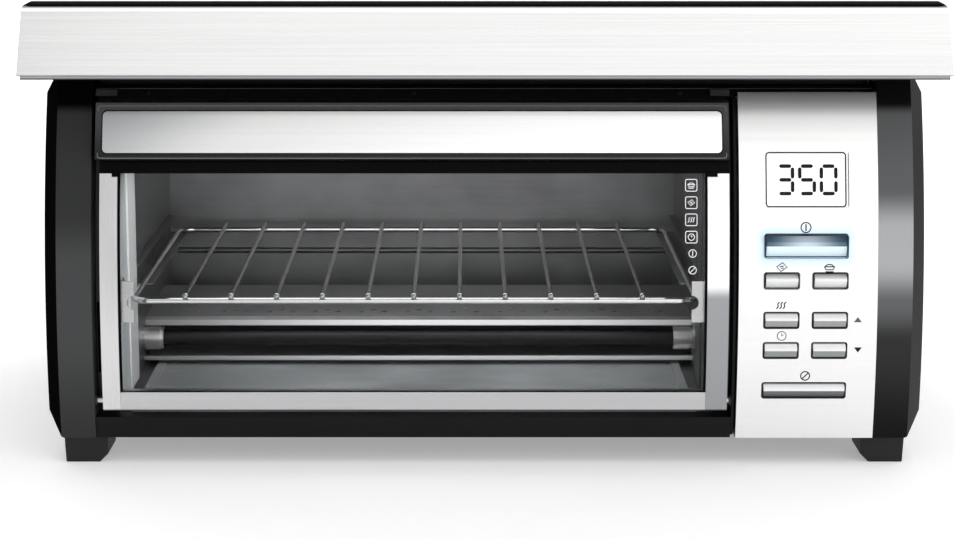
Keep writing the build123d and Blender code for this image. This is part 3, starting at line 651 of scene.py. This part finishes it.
# Symbols on the control panel, in millimetres: offset from the button in X and Z, drawing, size, line width
panel_symbols = (
    ("power_button", -0.3, 9.2, draw_power, 2.5, 0.6, dark_ink),
    ("toast_button", -0.1, 7.0, draw_toast, 2.4, 0.55, dark_ink),
    ("bake_button", -0.6, 6.7, draw_bake, 2.3, 0.55, dark_ink),
    ("warm_button", -0.2, 7.7, draw_warm, 2.2, 0.6, dark_ink),
    ("timer_button", 0.3, 7.6, draw_timer, 2.25, 0.45, ink),
    ("stop_button", 0.5, 7.7, draw_stop, 2.25, 0.6, dark_ink),
    ("up_button", 14.2, 0.4, draw_up, 2.0, 0, ink),
    ("down_button", 14.6, 0.3, draw_down, 2.0, 0, dark_ink),
)
for button, x, z, draw, size, width, material in panel_symbols:
    centre_x, centre_z = middle(button)
    mark = Print(button + "_symbol", nodes["control_panel"], (centre_x + x * MM, centre_z + z * MM))
    draw(mark, size, width)
    mark.finish(material.material, "oven")

# Painted shade: a dark rim round each button's opening, for the shadow in its recess
for button in (name for name in nodes if name.endswith("_button")):
    low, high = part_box(button)
    inset = 0.6  # from the edge of the button's hidden flange to the middle of the rim
    rim = Print(button + "_rim", nodes["control_panel"], middle(button))
    half_x, half_z = (high.x - low.x) / 2 / MM - inset, (high.z - low.z) / 2 / MM - inset
    rim.line(rounded_box(half_x, half_z, 1.2), 0.45, closed=True)
    rim.finish(dark_ink.material, "oven")

# Painted highlights: light lines along the handle's rounded edge and the beam's upper edge
highlight_ink = moulded("edge_light", (0.20, 0.20, 0.205), 0.5, bump=0.0, specular=0.2)
handle_size = handle_high - handle_low
edge = Print("handle_edge", nodes["door_handle"], middle("door_handle"))
half_x, half_z = handle_size.x / 2 / MM - 1.3, handle_size.z / 2 / MM - 1.5
edge.line(rounded_box(half_x, half_z, 1.2), 0.35, closed=True)
edge.finish(highlight_ink.material, "door")
beam_low, beam_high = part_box("top_beam")
edge = Print("beam_edge", nodes["top_beam"], (0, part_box("latch_bumpers")[1].z + 0.1 * MM))
edge.line([(beam_low.x / MM + 1, 0), (beam_high.x / MM - 1, 0)], 0.3)
edge.finish(ink.material, "oven")

# Painted shade: a dark line in the groove round the handle's inlay
low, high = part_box("handle_inlay")
groove = Print("inlay_groove", nodes["door_handle"], middle("handle_inlay"))
reach = 0.32  # from the inlay's edge to the middle of the line
half_x, half_z = (high.x - low.x) / 2 / MM + reach, (high.z - low.z) / 2 / MM + reach
groove.line(rounded_box(half_x, half_z, 2.5), 0.5, closed=True)
groove.finish(dark_ink.material, "door")

# Symbols on the glass, beside its right edge: shift in X and distance below the glass's top, in millimetres
pane_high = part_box("door_glass")[1]
column = pane_high.x - 8.3 * MM
glass_symbols = (
    ("bake", 0.0, 5.9, draw_bake, True),
    ("toast", 0.0, 14.5, draw_toast, True),
    ("warm", 0.0, 23.0, draw_warm, True),
    ("timer", 0.0, 31.6, draw_timer, True),
    ("power", 0.7, 39.8, draw_power, False),
    ("stop", 0.7, 48.2, draw_stop, False),
)
for name, x, drop, draw, framed in glass_symbols:
    centre = (column + x * MM, pane_high.z - drop * MM)
    mark = Print("glass_" + name + "_symbol", nodes["door_glass"], centre)
    draw(mark, 1.6 if framed else 1.9, 0.38)
    if framed:
        mark.line(rounded_box(2.9, 2.9, 0.8), 0.4, closed=True)
    mark.finish(white_ink.material, "door")

# Display: a rounded outline and the digits of a temperature
lens_x, lens_z = middle("display_window")
screen = Print("display_outline", nodes["display_window"], (lens_x - 0.7 * MM, lens_z - 0.05 * MM))
half_x, half_z = 20.15, 13.3
screen.line(rounded_box(half_x, half_z, 1.5), 0.7, closed=True)
screen.finish(dark_ink.material, "oven")
# Painted shade: a grey line down the window's right side, for the shadow of its bevel
bevel_shade_line = Print("display_bevel", nodes["display_window"], (lens_x, lens_z))
bevel_x, bevel_half_z = 20.85, 13.0
bevel_shade_line.line([(bevel_x, bevel_half_z), (bevel_x, -bevel_half_z)], 0.4)
bevel_shade_line.finish(ink.material, "oven")

segments = {"3": "abcdg", "5": "acdfg", "0": "abcdef"}
digit_width, digit_half, stroke = 7.35, 6.75, 1.8
shorter = 0.35  # each end of a bar is drawn in by this part of the stroke
digits = Print("display_digits", nodes["display_window"], (lens_x, lens_z - 0.1 * MM))
for column_x, digit in zip((-14.85, -3.85, 7.1), "350"):
    left, right = column_x, column_x + digit_width
    bars = {
        "a": (left, digit_half, right, digit_half),
        "g": (left, 0, right, 0),
        "d": (left, -digit_half, right, -digit_half),
        "f": (left, 0, left, digit_half),
        "b": (right, 0, right, digit_half),
        "e": (left, -digit_half, left, 0),
        "c": (right, -digit_half, right, 0),
    }
    for key in segments[digit]:
        x1, z1, x2, z2 = bars[key]
        along = Vector((x2 - x1, z2 - z1)).normalized()
        start = Vector((x1, z1)) + along * shorter * stroke
        end = Vector((x2, z2)) - along * shorter * stroke
        heading = math.atan2(along.y, along.x)
        outline = []
        for tip, facing in ((end, heading), (start, heading + math.pi)):
            core = tip - Vector((math.cos(facing), math.sin(facing))) * stroke / 2
            for step in range(-3, 4):
                turn = facing + step * math.pi / 6
                outline.append((core.x + stroke / 2 * math.cos(turn), core.y + stroke / 2 * math.sin(turn)))
        digits.shape(outline)
digits.finish(dark_ink.material, "oven")


# ---------------------------------------------------------------- Softly rounded edges on the CAD nodes

edge_radius = {
    "left_end_cap": 1.0,
    "right_end_cap": 1.0,
    "door_handle": 0.5,
    "hood_trim": 0.4,
    "feet": 0.7,
    "hood_fascia": 0.3,
    "power_button": 0.3,
}
for name, node in nodes.items():
    if name in ("control_panel", "hood_mount_plate"):
        continue  # flat sheets with crisp edges and small holes
    weld = node.modifiers.new("weld", "WELD")
    weld.merge_threshold = 0.000002
    bevel = node.modifiers.new("bevel", "BEVEL")
    bevel.width = edge_radius.get(name, 0.2) * MM
    bevel.segments = 2
    bevel.limit_method = "ANGLE"
    bevel.angle_limit = math.radians(35)
    bevel.harden_normals = False
    node.data.polygons.foreach_set("use_smooth", [True] * len(node.data.polygons))
    smooth = node.modifiers.new("normals", "WEIGHTED_NORMAL")
    smooth.keep_sharp = True


# ---------------------------------------------------------------- Studio


def cyclorama():
    """A pale floor that curves up into a backdrop, and glows a little so that it comes out white."""
    front, start, radius, top = -6.0, 3.2, 0.9, 4.0
    half_width, spans = 8.0, 12
    profile = [(front, 0.0), (start, 0.0)]
    for step in range(1, spans + 1):
        turn = math.pi / 2 * step / spans
        profile.append((start + radius * math.sin(turn), radius - radius * math.cos(turn)))
    profile.append((start + radius, top))
    mesh = bpy.data.meshes.new("floor")
    builder = bmesh.new()
    rows = [[builder.verts.new((x, y, z)) for y, z in profile] for x in (-half_width, half_width)]
    for left, right, left_next, right_next in zip(rows[0], rows[1], rows[0][1:], rows[1][1:]):
        builder.faces.new((left, right, right_next, left_next))
    builder.to_mesh(mesh)
    builder.free()
    floor = bpy.data.objects.new("floor", mesh)
    mesh.polygons.foreach_set("use_smooth", [True] * len(mesh.polygons))
    scene.collection.objects.link(floor)
    paper = Shader("floor_paper", color=(0.86, 0.86, 0.86), roughness=0.8, Specular_IOR_Level=0.1)
    grain = paper.noise((60, 60, 60), detail=3)
    paper.set("Base Color", paper.mix(paper.remap(grain, 0, 1), (0.85, 0.85, 0.855), (0.87, 0.87, 0.875)))
    paper.shader.inputs["Emission Color"].default_value = (1.0, 0.985, 0.99, 1)
    paper.shader.inputs["Emission Strength"].default_value = 0.34
    mesh.materials.append(paper.material)


cyclorama()


def softbox(name, location, target, size, radiance):
    """Flat light whose face has a given radiance."""
    light = bpy.data.lights.new(name, "AREA")
    light.shape = "RECTANGLE"
    light.size, light.size_y = size
    light.energy = radiance * math.pi * size[0] * size[1]
    lamp = bpy.data.objects.new(name, light)
    lamp.location = location
    lamp.rotation_euler = (Vector(target) - Vector(location)).to_track_quat("-Z", "Y").to_euler()
    scene.collection.objects.link(lamp)


softbox("overhead", (0.1, 0.35, 2.0), (0, 0, 0.1), (3.2, 2.2), 0.78)
softbox("fascia_card", (0.45, -1.15, 1.9), (0.45, -0.14, 0.22), (2.3, 0.9), 0.6)
softbox("backdrop", (0, 2.4, 2.4), (0, 3.8, 0.6), (5.0, 1.5), 1.6)
softbox("back_floor", (0, 2.0, 2.2), (0, 2.0, 0), (4.0, 1.6), 0.7)
# Two small lights inside the chamber, above the rack
chamber_x = middle("lower_shield")[0]
chamber_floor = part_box("lower_shield")[0].z
softbox("inside_oven", (chamber_x, -0.02, chamber_floor + 0.13), (chamber_x, 0.02, 0.0), (0.22, 0.12), 1.2)
softbox("behind_glass", (chamber_x, -0.085, chamber_floor + 0.12), (chamber_x, -0.06, 0.0), (0.27, 0.03), 4.0)

world = bpy.data.worlds.new("studio")
scene.world = world
world.use_nodes = True
sky = world.node_tree
background = sky.nodes["Background"]
direction = sky.nodes.new("ShaderNodeTexCoord")
parts = sky.nodes.new("ShaderNodeSeparateXYZ")
sky.links.new(direction.outputs["Generated"], parts.inputs["Vector"])


def sky_ramp(source, from_low, from_high, low, high):
    """Smooth step of one component of the direction."""
    ramp = sky.nodes.new("ShaderNodeMapRange")
    ramp.interpolation_type = "SMOOTHSTEP"
    ramp.inputs["From Min"].default_value = from_low
    ramp.inputs["From Max"].default_value = from_high
    ramp.inputs["To Min"].default_value = low
    ramp.inputs["To Max"].default_value = high
    sky.links.new(parts.outputs[source], ramp.inputs["Value"])
    return ramp.outputs["Result"]


def sky_math(operation, a, b):
    node = sky.nodes.new("ShaderNodeMath")
    node.operation = operation
    for socket, value in zip(node.inputs, (a, b)):
        if isinstance(value, float):
            socket.default_value = value
        else:
            sky.links.new(value, socket)
    return node.outputs["Value"]


# A bright wall in front and to the right, up to 36 degrees; dim on the far left and above
front = sky_ramp("Y", -0.2, -0.55, 0.0, 1.0)
low_part = sky_ramp("Z", 0.50, 0.63, 1.0, 0.0)
right = sky_ramp("X", -0.17, 0.02, 0.0, 1.0)
wall = sky_math("MULTIPLY", sky_math("MULTIPLY", front, low_part), right)
room = sky_math("ADD", 0.12, sky_math("MULTIPLY", sky_ramp("X", -0.75, -0.35, 0.0, 1.0), 0.42))
strength = sky_math("ADD", room, sky_math("MULTIPLY", wall, 1.0))
sky.links.new(strength, background.inputs["Strength"])
background.inputs["Color"].default_value = (1, 1, 1, 1)
